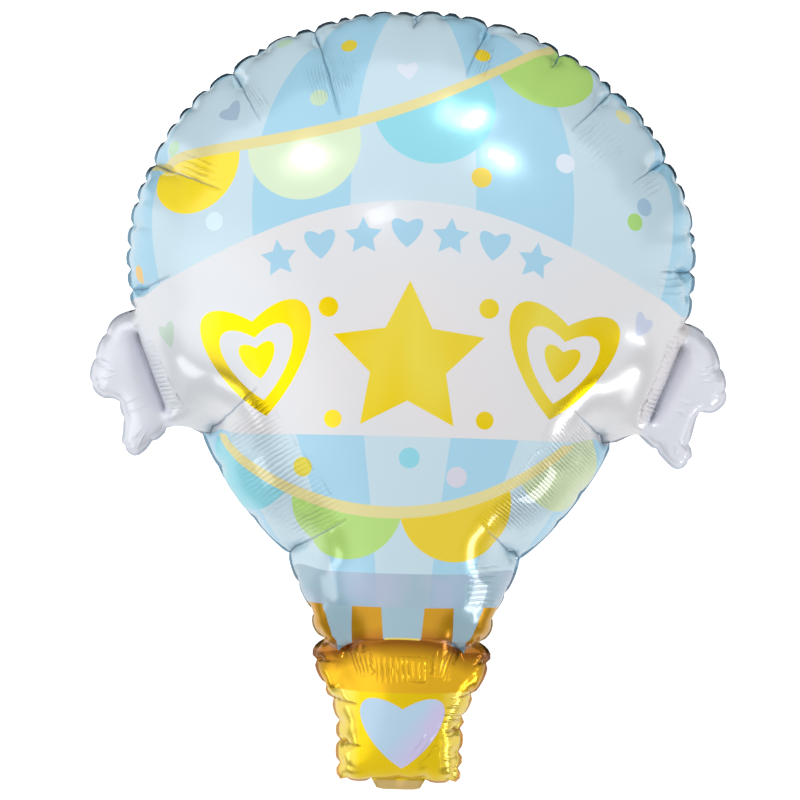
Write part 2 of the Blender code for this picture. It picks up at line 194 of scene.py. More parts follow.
def edge_at(place):
    """The scalloped edge, its inward direction, and the scallop's number and share s there. The
    edge stands out by the scallop's height times 2 sqrt(s (1 - s)) - 1/2, and so do the lobes.
    """
    reach = 0.003
    here, ahead, behind = (
        np.column_stack(
            [np.interp((place + step) % along[-1], along, closed_outline[:, k]) for k in (0, 1)]
        )
        for step in (0.0, reach, -reach)
    )
    inward = leftward(ahead - behind)
    number = np.clip(np.searchsorted(cusps, place + 1e-9, side="right") - 1, 0, len(cusps) - 1)
    share = np.clip((place - cusps[number]) / (next_cusp - cusps)[number], 0, 1)
    swell = scallop_heights[number] * (2 * np.sqrt(share * (1 - share)) - 0.5)
    lobe = np.searchsorted(lobe_ends, place + 1e-9, side="right") % len(lobe_ends)
    lobe_length = (lobe_ends[lobe] - lobe_ends[lobe - 1]) % along[-1]
    lobe_share = np.clip(((place - lobe_ends[lobe - 1]) % along[-1]) / lobe_length, 0, 1)
    lobe_height = np.where((here[:, 1] > BANNER_TOP) & (lobe_length < LOBE_LIMIT), LOBE_HEIGHT, 0)
    swell = swell + lobe_height * (2 * np.sqrt(lobe_share * (1 - lobe_share)) - 0.5)
    return here - inward * swell[:, None], inward, number, share


edge, inward, scallop, share = edge_at(seam_place)
seam = edge + inward * SEAL_INSET

# The two sheets
# Front and back are one film, printed before it was cut. The gas between them lifts each sheet
# off the seal. The sheet is a fine triangle mesh here, first lifted and then blown up.

TAIL_WELD = ((-0.14, 0.18), (-0.80, 0.67))
RISE = 0.180
REST_FLAT = 0.009
# The outline's middle, which is moved to the origin.
OUTLINE_SHIFT = (edge[:, 1].max() + BASKET_FOOT[1] + SEAL_INSET - TAB_LENGTH) / 2
SEAM_Z = RISE + 0.0003 - REST_FLAT
GRID_SPACING = 0.0076
ROW_STEP = 0.0003
ROW_COUNT = 8
# Beside a long crease or a weld the mesh has rows of its own, so that the fold is sharp.
FOLD_SPACING = 0.0046
FOLD_ROWS = (0, 0.0017, -0.0017, 0.0044, -0.0044)
# How far these keep from the seal, the welds and each other, and the seal's rows from them.
SEAL_CLEAR, WELD_CLEAR, FOLD_CLEAR, ROW_CLEAR = 0.0022, 0.0015, 0.0013, 0.0012
# The neck is drawn in along this line, where the skirt meets the basket, by this much.
WAIST_LINE = [
    (326, 643), (338, 653), (347, 648), (358, 642), (384, 637), (404, 636),
    (424, 637), (448, 642), (458, 648), (467, 654), (478, 642),
]
WAIST_DRAWN = (0.004, 0.030, 0.026, 0.017, 0.012, 0.011, 0.012, 0.017, 0.026, 0.030, 0.004)
# Below it the basket's rim swells up as a roll, down to this softer line.
ROLL_LINE = [(324, 660), (344, 671), (372, 681), (404, 684), (436, 681), (458, 671), (480, 662)]
ROLL_DRAWN = (0.003, 0.006, 0.008, 0.008, 0.008, 0.006, 0.003)


def beside_line(points, start, stop):
    """Each point's share t of the way along a line, 0 to 1, and its distance from there."""
    line = stop - start
    t = np.clip((points - start) @ line / max(line @ line, 1e-18), 0, 1)
    return t, lengths(points - start - t[:, None] * line)


def segment_distance(points, starts, stops):
    """Each point's distance to the nearest segment, and which segment that is."""
    best, nearest = np.full(len(points), np.inf), np.zeros(len(points), int)
    for number, (start, stop) in enumerate(zip(starts, stops)):
        _, far = beside_line(points, start, stop)
        closer = far < best
        best[closer], nearest[closer] = far[closer], number
    return best, nearest


def inside(points, loop):
    """Whether each point is in the loop: a ray from it to the right crosses the loop oddly often."""
    x, y = points.T
    found = np.zeros(len(points), bool)
    for (x0, y0), (x1, y1) in zip(loop, np.roll(loop, -1, axis=0)):
        if y0 != y1:
            found ^= ((y0 > y) != (y1 > y)) & (x < x0 + (y - y0) * (x1 - x0) / (y1 - y0))
    return found


def rows_along(path, offsets):
    """Rows of points beside a path, each at its offset across it, at even steps along it."""
    path = np.array(path, float)
    place = np.concatenate([[0], np.cumsum(lengths(np.diff(path, axis=0)))])
    at = np.linspace(0, place[-1], max(2, round(place[-1] / FOLD_SPACING)) + 1)
    line = np.column_stack([np.interp(at, place, path[:, k]) for k in (0, 1)])
    across = leftward(np.gradient(line, axis=0))
    return np.vstack([line + across * offset for offset in offsets])


def apart_from(points, others, distance):
    """The points that lie at least the distance from every one of the others."""
    nearest = [lengths(others - point).min() for point in points]
    return points[np.array(nearest) >= distance]


def thinned(points, distance):
    """The points without those that lie nearer than the distance to one before them."""
    far = lengths(points[:, None] - points)
    far[np.triu_indices(len(points))] = np.inf
    return points[far.min(axis=1) >= distance]


tail_weld = np.array([TAIL_ROOT + (out * TAIL_REACH, -down * TAIL_FALL) for out, down in TAIL_WELD])
welds = [rows_along(weld, (0,)) for weld in (tail_weld, tail_weld * (-1, 1))]
waist_line, roll_line = from_photo(WAIST_LINE), from_photo(ROLL_LINE)

# Every cusp has a crease that runs in from it. Most are short and steep; the long ones are those
# of the photograph.
seam_stops = np.roll(seam, -1, axis=0)
cusp_edge, cusp_inward, _, _ = edge_at(cusps)
foot_places = cusp_edge + cusp_inward * SEAL_INSET
main_cusps = np.argmin(np.abs(cusps[None, :] - main_places[:, None]), axis=1)
front_creases, back_creases = [], []
for creases in (front_creases, back_creases):
    for number, (foot, toward) in enumerate(zip(foot_places, cusp_inward)):
        size = cusp_slack[number] / 0.2
        long_one = creases is back_creases and rng.random() < 0.2
        reach = rng.uniform(0.010, 0.034) * size * (2.2 if long_one else 1)
        lean = rng.uniform(-0.25, 0.25)
        tip = foot + reach * (toward + lean * leftward(toward))
        depth = rng.uniform(0.0016, 0.0042) * size * (1.6 if long_one else 1)
        creases.append((foot, tip, depth))
main_lines = []
for cusp, tip, depth in zip(main_cusps, from_photo(MAIN_CREASES[:, 2:4]), MAIN_CREASES[:, 4]):
    front_creases[cusp] = (foot_places[cusp], tip, depth)
    main_lines.append(front_creases[cusp])


def within(points, distance):
    """The points that lie inside the seal by more than the distance."""
    points = points[inside(points, seam)]
    return points[segment_distance(points, seam, seam_stops)[0] > distance]


def placed(name, data):
    """A new object of this name in the scene."""
    made = bpy.data.objects.new(name, data)
    bpy.context.scene.collection.objects.link(made)
    return made


class Sheet:
    """One sheet as a flat triangle mesh, fine beside the seal, the welds and the given folds."""

    def __init__(self, folds):
        rows = [seam]
        fold_points = [rows_along(fold, FOLD_ROWS) for fold in folds]
        fold_points += [rows_along(weld, FOLD_ROWS[1:]) for weld in welds]
        fold_points = within(np.vstack(fold_points), SEAL_CLEAR)
        weld_points = np.vstack(welds)
        fold_points = thinned(apart_from(fold_points, weld_points, WELD_CLEAR), FOLD_CLEAR)
        taken = np.vstack([fold_points, weld_points])
        for k in range(1, ROW_COUNT + 1):
            inset = ROW_STEP * k * k
            row = within(edge + inward * (SEAL_INSET + inset), 0.85 * inset)
            rows.append(apart_from(row, taken, ROW_CLEAR if k < 3 else SEAL_CLEAR))
        span_x, span_y = np.arange(-0.5, 0.5, GRID_SPACING), np.arange(-0.6, 0.6, GRID_SPACING * 0.866)
        grid_x, grid_y = np.meshgrid(span_x, span_y)
        grid_x = grid_x + GRID_SPACING / 2 * (np.arange(len(span_y))[:, None] % 2)
        clear = ROW_STEP * ROW_COUNT**2 + 0.4 * GRID_SPACING
        grid = within(np.column_stack([grid_x.ravel(), grid_y.ravel()]), clear)
        grid = apart_from(grid, taken, 0.58 * GRID_SPACING)
        given = np.vstack([*rows, *welds, grid, fold_points])
        weld_first = sum(map(len, rows))
        weld_edges, first = [], weld_first
        for weld in welds:
            weld_edges += [(first + i, first + i + 1) for i in range(len(weld) - 1)]
            first += len(weld)
        loop = list(range(len(seam)))
        cdt = delaunay_2d_cdt([Vector(p) for p in given], weld_edges, [loop], 1, 1e-7, True)
        self.flat = np.array([tuple(v) for v in cdt[0]])
        triangles = np.array(cdt[2])
        self.triangles = triangles[inside(self.flat[triangles].mean(axis=1), seam)]
        source = np.array([ids[0] if ids else -1 for ids in cdt[3]])
        made_from = np.full(len(given), -1)
        made_from[source[source >= 0]] = np.nonzero(source >= 0)[0]
        self.rim = made_from[loop]
        self.held = np.zeros(len(self.flat), bool)
        self.held[self.rim] = True
        self.held[made_from[weld_first : weld_first + len(weld_points)]] = True
        self.inset, self.nearest_seam = segment_distance(self.flat, seam, seam_stops)
        self.edges, _ = unique_edges(self.triangles)
        self.lifted = lift(self.flat, self.triangles, self.held)
        self.folded = np.zeros(len(self.flat), bool)


def unique_edges(triangles):
    """The mesh's edges as pairs of points, and which edge each triangle's sides are."""
    pairs = np.sort(np.vstack([triangles[:, [0, 1]], triangles[:, [1, 2]], triangles[:, [2, 0]]]), axis=1)
    return np.unique(pairs, axis=0, return_inverse=True)


def lift(points, triangles, held):
    """The height of a film under even pressure, 1 at most: the root of Poisson's solution."""
    corner = [points[triangles[:, k]] for k in range(3)]
    side = [corner[(k + 2) % 3] - corner[(k + 1) % 3] for k in range(3)]
    twice = np.abs(side[0][:, 0] * side[1][:, 1] - side[0][:, 1] * side[1][:, 0])
    i, j = (triangles[:, order].T.ravel() for order in ([1, 2, 0], [2, 0, 1]))
    w = np.concatenate([-(side[k - 2] * side[k - 1]).sum(axis=1) / (2 * twice) for k in range(3)])
    count = len(points)
    diagonal = np.bincount(i, w, count) + np.bincount(j, w, count)
    load = np.bincount(triangles.ravel(), np.repeat(twice / 6, 3), count)
    value, rest = np.zeros(count), np.where(held, 0, load)
    ahead = rest / diagonal
    push, size = ahead.copy(), rest @ ahead
    for _ in range(1500):
        spread = np.bincount(i, w * push[j], count) + np.bincount(j, w * push[i], count)
        moved = np.where(held, 0, diagonal * push - spread)
        step = size / (push @ moved)
        value += step * push
        rest -= step * moved
        ahead = np.where(held, 0, rest / diagonal)
        size, before = rest @ ahead, size
        if size < 1e-18 * count:
            break
        push = ahead + push * size / before
    return np.sqrt(np.clip(value / value.max(), 0, 1))


front_sheet = Sheet([(foot, tip) for foot, tip, _ in main_lines] + [waist_line])
back_sheet = Sheet([])

# The blow-up
# Round the seal the film is longer than its place, because a flat sheet was bent over a round
# belly. Under pressure it stays as long as it is, so it gathers into puckers there.

PRESSURE_STEP = 0.000012
BLOW_STEPS = 130
STRETCH_PASSES = 6
STIFFNESS = 0.012
# The share of its speed that a point keeps, how far its pull is overdone, and how uneven the
# slack film is at first.
SPEED_KEPT = 0.9
PULL_OVERDONE = 1.3
UNEVENNESS = 0.02
# A fold's own line is pressed in by this much more, so that it stays a sharp groove.
GROOVE = 0.0011


def neighbour_table(count, edges):
    """For each point, its neighbours and the edges to them, padded with the point itself."""
    both = np.vstack([edges, edges[:, ::-1]])
    number = np.tile(np.arange(len(edges)), 2)
    order = np.argsort(both[:, 0], kind="stable")
    both, number = both[order], number[order]
    column = np.arange(len(both)) - np.searchsorted(both[:, 0], np.arange(count))[both[:, 0]]
    neighbours = np.tile(np.arange(count)[:, None], (1, column.max() + 1))
    edge_numbers = np.full(neighbours.shape, len(edges))
    neighbours[both[:, 0], column] = both[:, 1]
    edge_numbers[both[:, 0], column] = number
    return neighbours, edge_numbers


def sums(numbers, rows, count):
    """The rows added up by their numbers, from 0 to the count."""
    return np.stack([np.bincount(numbers, column, count) for column in rows.T], axis=1)


def point_normals(points, triangles):
    """Each point's normal, as the sum of its triangles' cross products."""
    a, b, c = (points[triangles[:, k]] for k in range(3))
    total = sums(triangles.ravel(), np.repeat(np.cross(b - a, c - a), 3, axis=0), len(points))
    return total / np.maximum(lengths(total), 1e-12)[:, None]


tangent_of = np.column_stack([-leftward(inward), np.zeros(len(inward))])


def blow_up(sheet, top, creases, valleys, seed):
    """One sheet blown up. Each step moves every point out by the pressure, then draws edges that
    are longer than the film back to its length, by half of what they are over at each end.
    Shorter edges are left alone, since film folds. A little evening out stiffens it.
    """
    flat, held, edges, inset = sheet.flat, sheet.held, sheet.edges, sheet.inset
    reach_in = slack_reach[scallop[sheet.nearest_seam]]
    local_slack = cusp_slack[scallop[sheet.nearest_seam]] / (1 + inset / reach_in) ** 1.3
    neighbours, edge_numbers = neighbour_table(len(flat), edges)
    points = np.column_stack([flat, top * sheet.lifted])
    ends = points[edges[:, 1]] - points[edges[:, 0]]
    length = lengths(ends)
    middle = edges[:, 0]
    across = (ends * tangent_of[sheet.nearest_seam][middle]).sum(axis=1) / length
    rest = np.append(length * (1 + local_slack[middle] * across**2), 1.0)[edge_numbers]
    rng = np.random.default_rng(seed)
    start = points.copy()
    ceiling = np.full(len(flat), np.inf)
    for foot, tip, depth in creases:
        t, far = beside_line(flat, foot, tip)
        drawn = depth * (1 - t) ** 0.7
        groove = points[:, 2] * np.sqrt(1 - drawn / (inset + drawn))
        is_long = any(foot is other[0] for other in main_lines)
        near = (far < (0.0007 if is_long else 0.0020)) & ~held
        ceiling[near] = np.minimum(ceiling, groove)[near]
        if is_long and creases is front_creases:
            sheet.folded |= near & (t < 0.97)
    for line, depths, width, sharp in valleys:
        far, piece = segment_distance(flat, line[:-1], line[1:])
        near = (far < width) & ~held
        share = lengths(flat - line[piece]) / lengths(line[piece + 1] - line[piece])
        drawn = np.take(depths, piece) * (1 - share) + np.take(depths, piece + 1) * share
        ceiling[near] = np.minimum(ceiling, points[:, 2] - drawn)[near]
        if sharp:
            sheet.folded |= near
    points[:, 2] *= 1 - UNEVENNESS * rng.random(len(points)) * (local_slack > 0.02)
    last = points.copy()
    padding = neighbours == np.arange(len(points))[:, None]
    real = (~padding).sum(axis=1)[:, None]
    for _ in range(BLOW_STEPS):
        pressed = PRESSURE_STEP * point_normals(points, sheet.triangles)
        points, last = points + SPEED_KEPT * (points - last) + pressed, points
        points[held] = start[held]
        for _ in range(STRETCH_PASSES):
            reach = points[neighbours] - points[:, None]
            size = lengths(reach)
            over = np.where(size > rest, (size - rest) / np.maximum(size, 1e-9), 0)
            pull = (reach * over[:, :, None]).sum(axis=1) / np.maximum((over > 0).sum(axis=1), 1)[:, None]
            points = points + 0.5 * pull * PULL_OVERDONE
            points[held] = start[held]
        even = (points[neighbours] - points[:, None]).sum(axis=1) / real
        even[held] = 0
        points = points + STIFFNESS * even
        points[:, 2] = np.minimum(points[:, 2], ceiling)
    points[:, 2] *= min(1, top / points[:, 2].max())
    points[sheet.folded] -= GROOVE * point_normals(points, sheet.triangles)[sheet.folded]
    return points


def divide(points, triangles, kept, extra):
    """Each triangle in four, by Loop's rule: a new point is 3/8 of its edge's ends and 1/8 of the
    two corners across it, and an old one moves towards its neighbours' mean. Kept points stay.
    Extra values are halved along the edges without smoothing.
    """
    pairs, which = unique_edges(triangles)
    which = which.reshape(3, -1).T
    across = np.stack([triangles[:, 2], triangles[:, 0], triangles[:, 1]], axis=1)
    faces_of = np.bincount(which.ravel(), minlength=len(pairs))
    opposite = sums(which.ravel(), points[across.ravel()], len(pairs))
    first, last = pairs.T
    ends = points[first] + points[last]
    inner = (faces_of == 2)[:, None] & ~(kept[first] & kept[last])[:, None]
    middle = np.where(inner, ends * 3 / 8 + opposite / 8, ends / 2)
    valence = np.bincount(pairs.ravel(), minlength=len(points))
    total = sums(first, points[last], len(points)) + sums(last, points[first], len(points))
    beta = (3 / 8 / np.maximum(valence, 1))[:, None]
    moved = np.where(kept[:, None], points, points * (1 - valence[:, None] * beta) + beta * total)
    a, b, c = triangles.T
    ab, bc, ca = (which + len(points)).T
    quarters = np.vstack(
        [np.stack(corner, axis=1) for corner in ((a, ab, ca), (ab, b, bc), (ca, bc, c), (ab, bc, ca))]
    )
    halved = (extra[first] + extra[last]) / 2
    return np.vstack([moved, middle]), quarters, np.vstack([extra, halved])


neck_valleys = [(waist_line, WAIST_DRAWN, 0.0007, True), (roll_line, ROLL_DRAWN, 0.003, False)]
front = blow_up(front_sheet, RISE, front_creases, neck_valleys, 1)
back = blow_up(back_sheet, RISE, back_creases, [(waist_line, WAIST_DRAWN, 0.004, False)], 2)
back[:, 2] = np.minimum(back[:, 2], RISE - REST_FLAT)

# The printed film
# The artwork is printed flat, before the balloon is sealed and filled, so near the seal it
# bends away out of sight with the film. Each point of the film keeps its place on the flat
# print as the UV map "print", in metres from the envelope's middle.

HEIGHT_SHARE = RISE / ENVELOPE_HALF_WIDTH
# Nearer to the seal than this the puckers push the film about, so there a point's place on the
# print is taken from the sheet before the blow-up.
PUCKERS_REACH = 0.035
quarter_turn = np.linspace(0, math.pi / 2, 2001)
arc_steps = np.sqrt(np.cos(quarter_turn) ** 2 + (HEIGHT_SHARE * np.sin(quarter_turn)) ** 2)
arc_share = np.concatenate([[0], np.cumsum((arc_steps[1:] + arc_steps[:-1]) / 2)]) * quarter_turn[1]
right_edge = np.vstack([stretch[0] for stretch in RIGHT_HALF if stretch[0] is not tail_edge])
right_edge = right_edge[right_edge[:, 1] < ENVELOPE_MIDDLE][::-1]


def on_print(places):
    """Places seen from above as places on the flat print: what lies at the share sin(t) of an
    ellipse's half width lies on the film at the arc's length from 0 to t, along rays from the
    envelope's middle above it and along level lines below it.
    """
    places = np.asarray(places, float)
    x, y = places[..., 0], places[..., 1] - ENVELOPE_MIDDLE
    upper = np.hypot(x / ENVELOPE_HALF_WIDTH, y / ENVELOPE_HALF_HEIGHT)
    half_width = np.interp(y + ENVELOPE_MIDDLE, right_edge[:, 1], right_edge[:, 0])
    level = np.abs(x) / np.maximum(half_width, 0.01)
    share = np.where(y > 0, upper, level)
    arc = np.interp(np.arcsin(np.clip(share, 0, 1)), quarter_turn, arc_share)
    arc = arc + np.maximum(share - 1, 0)
    growth = np.where(share > 1e-6, arc / np.maximum(share, 1e-6), 1)
    return np.stack([x * growth, np.where(y > 0, y * growth, y)], axis=-1)


def fine_half(sheet, points):
    """A sheet's points, triangles, flat places and insets once divided, and its rim in order."""
    flat = np.column_stack([sheet.flat, sheet.inset])
    fine, faces, flat = divide(points, sheet.triangles, sheet.held | sheet.folded, flat)
    number = {tuple(pair): len(points) + n for n, pair in enumerate(sheet.edges.tolist())}
    ahead = np.roll(sheet.rim, -1)
    halves = [number[(min(a, b), max(a, b))] for a, b in zip(sheet.rim.tolist(), ahead.tolist())]
    return fine, faces, flat[:, :2], flat[:, 2], np.stack([sheet.rim, halves], axis=1).ravel()


def add_film(name, front_points, back_points):
    """The closed balloon: the two blown sheets, the seal's rim and the tab, as one mesh."""
    top, faces, top_places, top_inset, top_rim = fine_half(front_sheet, front_points)
    low, low_faces, low_places, low_inset, low_rim = fine_half(back_sheet, back_points)
    film = np.vstack([top + (0, 0, SEAM_Z + 0.0003), low * (1, 1, -1) + (0, 0, SEAM_Z - 0.0003)])
    extra_width = (rim_width - rim_at_cusp)[scallop]
    width = rim_at_cusp[scallop] + extra_width * 2 * np.sqrt(share * (1 - share))
    drop = RIM_DROP_SHARE * width
    is_tab = (np.abs(seam[:, 0]) < TAB_HALF_WIDTH) & (seam[:, 1] < BASKET_FOOT[1] + 2 * SEAL_INSET)
    tab_share = np.abs(seam[is_tab, 0]) / TAB_HALF_WIDTH
    width[is_tab], drop[is_tab] = TAB_LENGTH * (1 - tab_share**6) ** 0.5, 0
    outer = np.column_stack([seam - inward * width[:, None], SEAM_Z - drop])
    outer = np.stack([outer, (outer + np.roll(outer, -1, axis=0)) / 2], axis=1).reshape(-1, 3)
    film = np.vstack([film, outer + (0, 0, 0.0003), outer - (0, 0, 0.0003)])
    here = np.arange(len(outer))
    after = np.roll(here, -1)
    back_rim = len(top) + low_rim
    front_edge = len(top) + len(low)
    front_outer, back_outer = front_edge + here, front_edge + len(outer) + here
    bands = ((top_rim, front_outer), (front_outer, back_outer), (back_outer, back_rim))
    quads = np.vstack([np.stack([a[after], a, b, b[after]], axis=1) for a, b in bands])
    everything = faces.tolist() + (low_faces[:, ::-1] + len(top)).tolist() + quads.tolist()
    film = film - (0, OUTLINE_SHIFT, 0)
    mesh = bpy.data.meshes.new(name)
    mesh.from_pydata(film.tolist(), [], everything)
    mesh.shade_smooth()
    seen_places = film[:, :2] + (0, OUTLINE_SHIFT)
    inset = np.concatenate([top_inset, low_inset])
    near_seal = np.clip(1 - inset / PUCKERS_REACH, 0, 1)[:, None]
    near_seal = near_seal**2 * (3 - 2 * near_seal)
    flat_places = np.vstack([top_places, low_places])
    seen_places[:front_edge] += near_seal * (flat_places - seen_places[:front_edge])
    loops = np.zeros(len(mesh.loops), int)
    mesh.loops.foreach_get("vertex_index", loops)
    uv = on_print(seen_places)[loops].astype(np.float32)
    mesh.uv_layers.new(name="print").data.foreach_set("uv", uv.ravel())
    folds, sealed = np.zeros((len(film), 3), np.float32), np.zeros(len(film), np.float32)
    # The folds attribute holds the ribs' count and strength and the amount of painted crease shade.
    folds[: len(top)] = ribs_and_crease_shade(top_places)
    sealed[front_edge:] = np.tile(np.repeat(np.where(is_tab, 0, 1), 2), 2)
    mesh.attributes.new("folds", "FLOAT_VECTOR", "POINT").data.foreach_set("vector", folds.ravel())
    mesh.attributes.new("seal", "FLOAT", "POINT").data.foreach_set("value", sealed)
    return placed(name, mesh)


# Fine ribs lie beside the long creases. Each bundle fills the space between two lines: the
# photograph's places of the outer and inner end of both, then how many ribs and how strong.
RIBS = [
    (296, 58, 318, 128, 350, 42, 370, 124, 16, 0.5), (238, 82, 266, 130, 252, 76, 284, 128, 4, 0.5),
    (170, 172, 226, 200, 188, 154, 240, 180, 4, 1.0), (484, 38, 462, 92, 500, 42, 480, 96, 5, 0.5),
    (604, 108, 562, 146, 626, 148, 586, 184, 9, 0.6), (660, 170, 622, 192, 666, 188, 630, 208, 4, 0.6),
    (692, 262, 652, 262, 692, 302, 650, 300, 6, 0.5), (212, 426, 276, 378, 290, 556, 344, 524, 34, 1.0),
    (606, 442, 564, 394, 522, 556, 478, 518, 42, 1.0), (341, 650, 354, 676, 372, 656, 373, 682, 5, 0.8),
    (372, 656, 373, 684, 432, 656, 431, 684, 11, 1.0), (432, 652, 431, 688, 465, 650, 452, 676, 5, 0.8),
    (474, 690, 440, 692, 462, 776, 438, 776, 11, 0.9), (506, 562, 468, 558, 498, 606, 464, 604, 9, 0.6),
    (138, 334, 156, 328, 166, 414, 182, 408, 18, 0.9), (690, 332, 674, 328, 648, 422, 632, 416, 20, 0.9),
    (402, 752, 430, 716, 416, 766, 448, 732, 3, 0.5), (90, 388, 116, 378, 104, 358, 126, 368, 3, 0.5),
    (110, 400, 142, 386, 122, 416, 150, 408, 2, 0.6), (122, 446, 140, 424, 146, 460, 156, 432, 3, 0.6),
    (726, 392, 700, 384, 712, 362, 692, 372, 3, 0.5), (708, 404, 676, 392, 696, 420, 668, 412, 2, 0.6),
    (694, 456, 678, 430, 670, 466, 662, 438, 3, 0.6),
]
# The waist's fold is painted dark, as shade, where the outer straps reach it.
strap_tips = from_photo([(344, 651), (460, 650)])


def ribs_and_crease_shade(places):
    """For each place on the sheet: its count of ribs, how strong they are, and how much painted crease
    shade it gets.
    Between two lines the count runs from 0 to the bundle's number, and the ribs fade at its ends.
    """
    marks = np.zeros((len(places), 3))
    for *ends, number, strength in RIBS:
        lines = list(from_photo(np.reshape(ends, (2, 2, 2))))
        far = []
        for (start, stop), (other, _) in (lines, lines[::-1]):
            left = leftward(stop - start)
            far.append((places - start) @ (left * np.sign((other - start) @ left)))
        share = far[0] / np.where(np.abs(far[0] + far[1]) < 1e-6, 1, far[0] + far[1])
        middle = (lines[0] + lines[1]) / 2
        line = middle[1] - middle[0]
        reach = (places - middle[0]) @ line / (line @ line)
        fade = np.clip(np.minimum(share, 1 - share) / 0.15, 0, 1)
        fade = fade * np.clip(np.minimum(reach, 1 - reach) / 0.4, 0, 1) * strength
        fade = np.where((far[0] > 0) & (far[1] > 0), fade, 0)
        stronger = fade > marks[:, 1]
        marks[stronger, 0] = (share * number)[stronger]
        marks[stronger, 1] = fade[stronger]
    # The third number is painted shade: a thin dark line along each long crease and dark patches where the
    # outer straps reach the waist.
    for foot, tip, _ in main_lines:
        t, far = beside_line(places, foot, tip)
        marks[:, 2] = np.maximum(marks[:, 2], np.exp(-((far / 0.0008) ** 2)) * (1 - t**3))
    far, _ = segment_distance(places, waist_line[:-1], waist_line[1:])
    tip_far, _ = segment_distance(places, strap_tips, strap_tips)
    strap_tip_shade = np.exp(-((far / 0.0026) ** 2)) * np.exp(-((tip_far / 0.018) ** 2))
    marks[:, 2] = np.maximum(marks[:, 2], strap_tip_shade)
    return marks


balloon = add_film("balloon_film", front, back)


class Tone:
    """A value in the film's material. Expressions on tones add the Math nodes that work them out."""

    tree = None

    def __init__(self, socket):
        self.socket = socket

    @classmethod
    def node(cls, kind, inputs=(), output=0, **settings):
        """A new node: its settings first, then the values or links of its sockets, in order or named."""
        made = cls.tree.nodes.new("ShaderNode" + kind)
        for setting, value in settings.items():
            setattr(made, setting, value)
        for key, value in inputs.items() if isinstance(inputs, dict) else enumerate(inputs):
            if isinstance(value, Tone):
                cls.tree.links.new(value.socket, made.inputs[key])
            elif value is not None:
                made.inputs[key].default_value = value
        return cls(made.outputs[output])

    def math(self, operation, *others, clamp=False):
        return Tone.node("Math", (self, *others), operation=operation, use_clamp=clamp)

    __add__ = __radd__ = partialmethod(math, "ADD")
    __mul__ = __rmul__ = partialmethod(math, "MULTIPLY")
    __sub__ = partialmethod(math, "SUBTRACT")
    __truediv__ = partialmethod(math, "DIVIDE")
    __or__ = partialmethod(math, "MAXIMUM")
    abs = partialmethod(math, "ABSOLUTE")

    def __rsub__(self, other):
        return Tone.node("Math", (other, self), operation="SUBTRACT")

    def part(self, number):
        """One of the three numbers of a place."""
        return Tone.node("SeparateXYZ", (self,), output=number)

    def along(self, direction):
        """How far a place lies along a direction from the origin."""
        both = (self, direction)
        return Tone.node("VectorMath", both, output=1, operation="DOT_PRODUCT")

    def below(self, limit, soft=0.0009):
        """1 where the tone is below the limit and 0 above it, with a soft edge of printed ink."""
        return ((limit - self) / soft + 0.5).math("MULTIPLY", 1.0, clamp=True)

    def polynomial(self, *powers):
        """The polynomial with these coefficients, highest power first."""
        total = self * float(powers[0]) + float(powers[1])
        for power in powers[2:]:
            total = total * self + float(power)
        return total


def ink(red, green, blue):
    """A printing ink from its screen colour, 0 to 255."""
    parts = (value / 255 for value in (red, green, blue))
    return (*(part / 12.92 if part <= 0.04045 else ((part + 0.055) / 1.055) ** 2.4 for part in parts), 1.0)


def print_place(*spot):
    """A place in the photograph as a place on the flat print."""
    return on_print(from_photo(spot))


def over(below, mask, colour, **settings):
    """Ink laid over what is below it, where the mask is 1."""
    values = {0: mask, 6: below, 7: colour}
    return Tone.node("Mix", values, output=2, data_type="RGBA", **settings)


def dot(centre, radius):
    """A round spot of ink."""
    far = Tone.node("VectorMath", (place, (*centre, 0)), output=1, operation="DISTANCE")
    return far.below(radius)


def along_axis(centre, direction):
    """How far the print's places lie from the centre along the direction."""
    return place.along((*direction, 0)) - float(np.dot(centre, direction))


def upright(centre, lean):
    """How far the print's places lie to the right of the centre and above it, when it leans."""
    right, above = (math.cos(lean), math.sin(lean)), (-math.sin(lean), math.cos(lean))
    return along_axis(centre, right), along_axis(centre, above)


def heart(centre, size, lean=0.0, line=None, wide=1.1):
    """A heart: u^2 + (k v - 0.9 |u|)^2 < 1 in half widths. line leaves an outline of that width."""
    u, v = upright(centre, lean)
    u = (u * (1 / size)).abs()
    lobe = v * (1.17 * wide / size) + 0.17 - 0.9 * u
    reach = (u * u + lobe * lobe).math("SQRT")
    full = reach.below(1.0, 0.0009 / size)
    if line is None:
        return full
    return full * (1 - reach.below(1 - line / size, 0.0009 / size))


def star(centre, size, lean=0.0, waist=0.5):
    """A five-pointed star: each tenth of a turn is bounded by a straight line from tip to waist."""
    u, v = upright(centre, lean)
    tenth = math.pi / 5
    turned = Tone.node("Math", (u, v), operation="ARCTAN2")
    folded = Tone.node("Math", (turned, tenth), operation="PINGPONG")
    reach = (u * u + v * v).math("SQRT")
    normal = np.array([waist * math.sin(tenth), 1 - waist * math.cos(tenth)])
    normal /= np.linalg.norm(normal)
    off = reach * (folded.math("COSINE") * float(normal[0]) + folded.math("SINE") * float(normal[1]))
    return off.below(size * float(normal[0]))


film = bpy.data.materials.new("printed_film")
film.use_nodes = True
Tone.tree = film.node_tree
Tone.tree.nodes.clear()
uv = Tone.node("UVMap", uv_map="print")
place = Tone.node("VectorMath", (uv, (1, 1, 0)), operation="MULTIPLY")
across = place.part(0)
up = place.part(1)
body_place = Tone.node("TexCoord", output=3)
body_z = body_place.part(2)
front_side = 1 - body_z.below(SEAM_Z, 0.0002)
marks = Tone.node("Attribute", output=1, attribute_name="folds")
rib_count = marks.part(0)
rib_strength = marks.part(1)
# The amount of painted crease shade.
folded = marks.part(2)
seal = Tone.node("Attribute", output=2, attribute_name="seal")


def cloudy(scale, detail=2.0, stretch=(1, 1, 1)):
    """A soft random tone round 0.5 over the print, with so many clouds to a metre."""
    where = Tone.node("VectorMath", (place, stretch), operation="MULTIPLY")
    return Tone.node("TexNoise", {"Vector": where, "Scale": scale, "Detail": detail})


